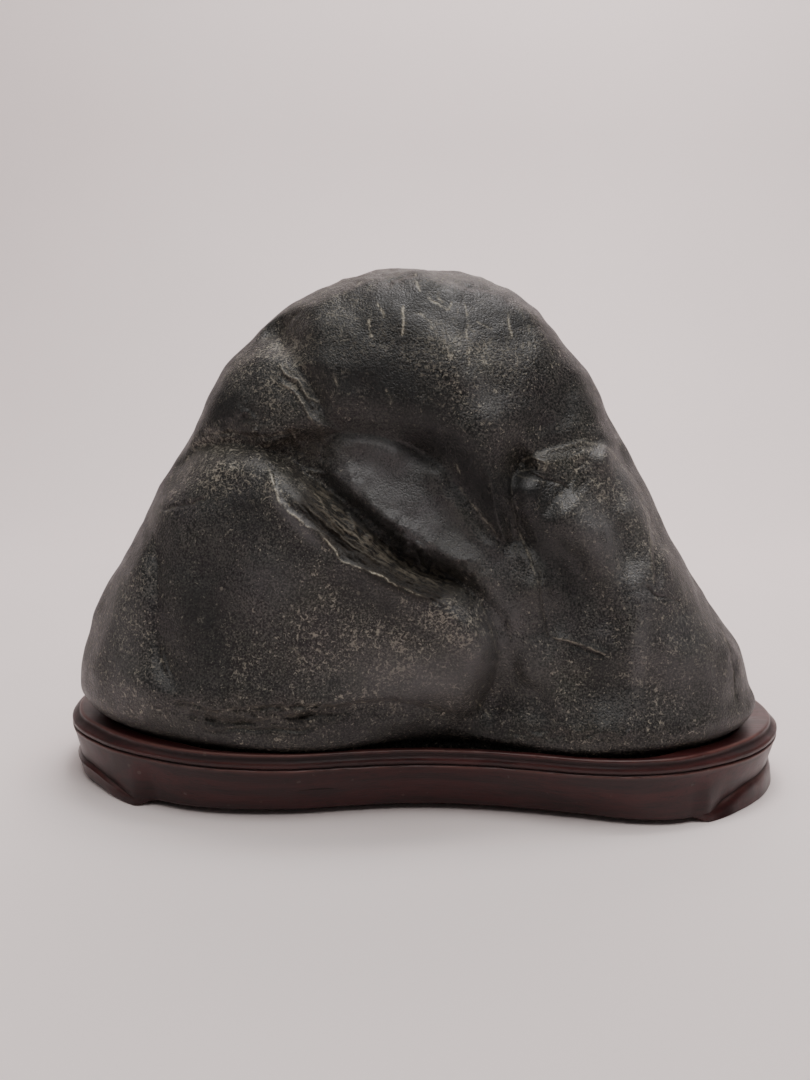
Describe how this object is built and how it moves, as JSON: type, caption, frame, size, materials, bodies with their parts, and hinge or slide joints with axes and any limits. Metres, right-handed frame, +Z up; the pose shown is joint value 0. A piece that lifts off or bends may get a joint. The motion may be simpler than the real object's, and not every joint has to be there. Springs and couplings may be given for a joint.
{
  "type": "scholars rock",
  "caption": "Dark water-worn scholar's stone with a diagonal cleft, seated in a low carved hardwood stand with a moulded rim and rounded end feet.",
  "frame": {"origin": "on the surface it stands on, under the middle of the whole piece's box", "axes": "+X to the viewer's right along the long side, +Y away from the viewer to the back, +Z up"},
  "size_m": [0.3413, 0.1482, 0.238],
  "materials": {
    "stone": "satin",
    "stand_wood": "satin"
  },
  "bodies": {
    "root": {"rock": "stone", "stand": "stand_wood"}
  },
  "joints": []
}
